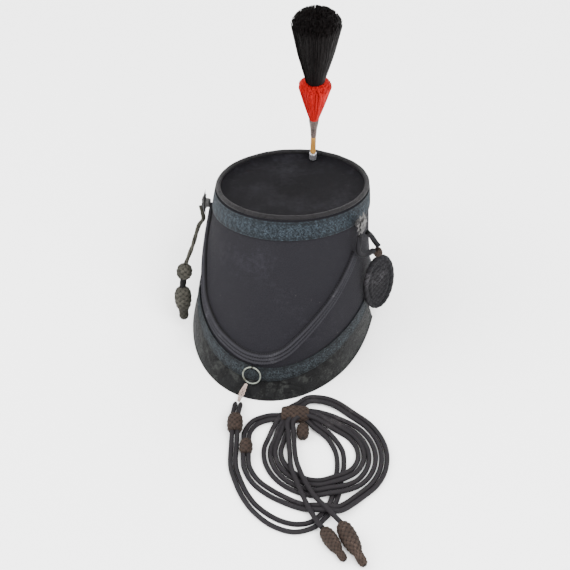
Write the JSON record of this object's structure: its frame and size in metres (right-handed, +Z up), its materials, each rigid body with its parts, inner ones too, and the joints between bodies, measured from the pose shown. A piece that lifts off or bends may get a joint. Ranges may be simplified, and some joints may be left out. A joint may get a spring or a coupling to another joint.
{
  "type": "shako",
  "caption": "Dark cloth shako with two leather peaks, lace bands, plaited festoon, red and black hair plume and a doubled cap line with acorns.",
  "frame": {"origin": "middle of the hat's own box on the surface it stands on, without the cap line and the left drop", "axes": "+Z up, +Y towards the plume and front peak, -Y towards the rear ring and the coiled cap line, +X to the flounder's side"},
  "size_m": [0.2455, 0.4165, 0.2971],
  "materials": {
    "body_cloth": "matt felted cloth",
    "binding_leather": "worn dull leather",
    "peak_leather": "cracked dark leather",
    "lace": "patterned blue-green braid",
    "plait": "plaited mohair cord",
    "line_cord": "braided mohair cord",
    "knot_cord": "faded netted cord",
    "old_trim": "faded netted cord",
    "worn_thread": "frayed thread",
    "boss_metal": "dull cast metal",
    "ring_metal": "tarnished silver wire",
    "socket_metal": "bright metal tube",
    "stem_wood": "varnished cane",
    "ferrule_wire": "tarnished wire wrap",
    "red_hair": "dyed hair",
    "black_hair": "dyed hair"
  },
  "bodies": {
    "root": {"body": "body_cloth", "crown_top": "body_cloth", "crown_rim": "binding_leather", "upper_lace_band": "lace", "lower_lace_band": "lace", "rear_peak": "peak_leather", "front_peak": "peak_leather", "festoon": "plait", "right_boss": "boss_metal", "left_boss": "boss_metal", "rear_ring": "ring_metal", "ring_eye": "ring_metal", "plume_socket": "socket_metal", "plume_stem": "stem_wood", "plume_ferrule": "ferrule_wire", "plume_red_hair": "red_hair", "plume_black_hair": "black_hair", "left_drop_cord": "old_trim", "left_knot": "old_trim", "left_link": "plait", "left_acorn": "old_trim", "right_loop": "plait", "right_cord": "plait", "right_collar": "knot_cord", "right_flounder": "plait", "worn_loop": "worn_thread", "line_start_a": "line_cord", "line_start_b": "line_cord", "slider_one": "knot_cord", "line_lead_a": "line_cord", "line_lead_b": "line_cord", "line_inner_a": "line_cord", "line_inner_b": "line_cord", "line_turn_a": "line_cord", "line_turn_b": "line_cord", "knot_two": "knot_cord", "line_sweep_a": "line_cord", "line_sweep_b": "line_cord", "line_coil": "line_cord", "line_return_a": "line_cord", "line_return_b": "line_cord", "slider_two": "knot_cord", "knot_three": "knot_cord", "line_tail_a": "line_cord", "line_tail_b": "line_cord", "acorn_a": "knot_cord", "acorn_b": "knot_cord"}
  },
  "joints": []
}
